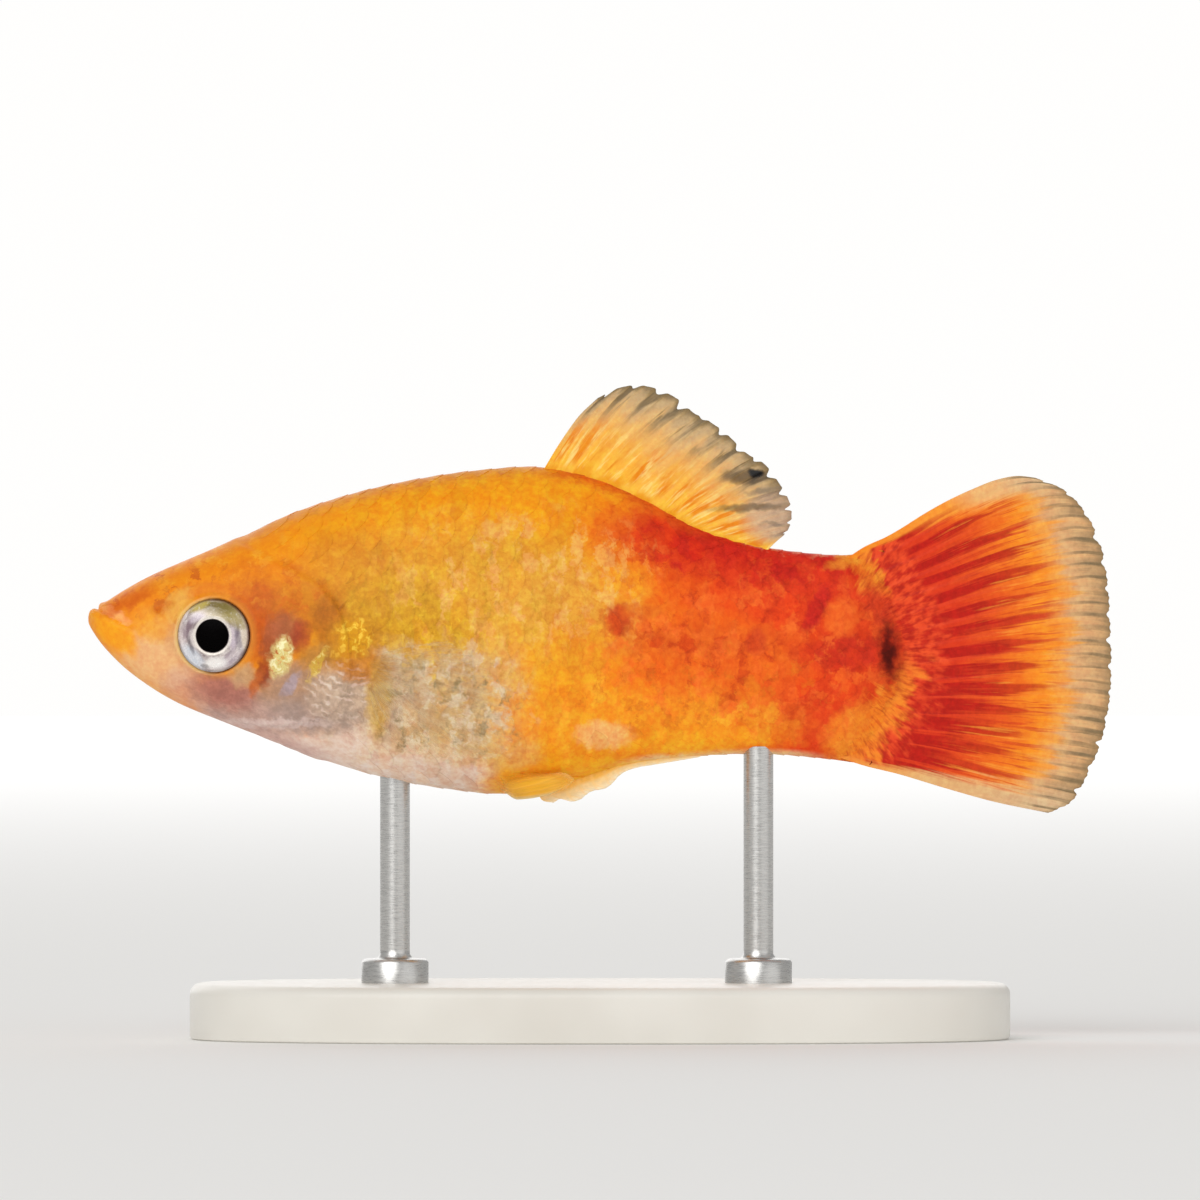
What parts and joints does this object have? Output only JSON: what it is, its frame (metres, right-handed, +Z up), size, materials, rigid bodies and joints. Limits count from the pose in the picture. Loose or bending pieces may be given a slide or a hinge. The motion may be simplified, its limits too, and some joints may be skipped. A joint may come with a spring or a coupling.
{
  "type": "sunset platy",
  "caption": "Still, life-size aquarium fish with an orange body, spread fins and a fan tail, held level by rods on a rounded display base.",
  "frame": {"origin": "centre of the underside of the stand's base, under the middle of the fish's length", "axes": "+X from the snout to the tail, +Y from the fish's left side to its right, +Z up; the fish's mid plane is Y = 0 and the base rests on Z = 0"},
  "size_m": [0.0551, 0.024, 0.035],
  "materials": {
    "head_skin": "wet sheen over orange and yellow mottling",
    "body_skin": "scaled, satin sheen, pale in front and red-orange behind",
    "eye": "silver iris round a black pupil, glossy",
    "dorsal_fin": "thin ribbed membrane, yellow-orange with brown flecks",
    "tail_fin": "thin ribbed membrane, red streaks fading to a cream rim",
    "clear_fin": "thin ribbed membrane, nearly clear, pale yellow",
    "stand_plate": "satin",
    "stand_steel": "brushed"
  },
  "bodies": {
    "root": {"head": "head_skin", "lower_jaw": "head_skin", "gill_cover_left": "head_skin", "gill_cover_right": "head_skin", "eye_left": "eye", "eye_right": "eye", "torso": "body_skin", "tail_stalk": "body_skin", "dorsal_fin": "dorsal_fin", "caudal_fin": "tail_fin", "anal_fin": "clear_fin", "pectoral_fin_left": "clear_fin", "pectoral_fin_right": "clear_fin", "pelvic_fin_left": "clear_fin", "pelvic_fin_right": "clear_fin", "stand_base": "stand_plate", "stand_rod_front": "stand_steel", "stand_rod_rear": "stand_steel"}
  },
  "joints": []
}
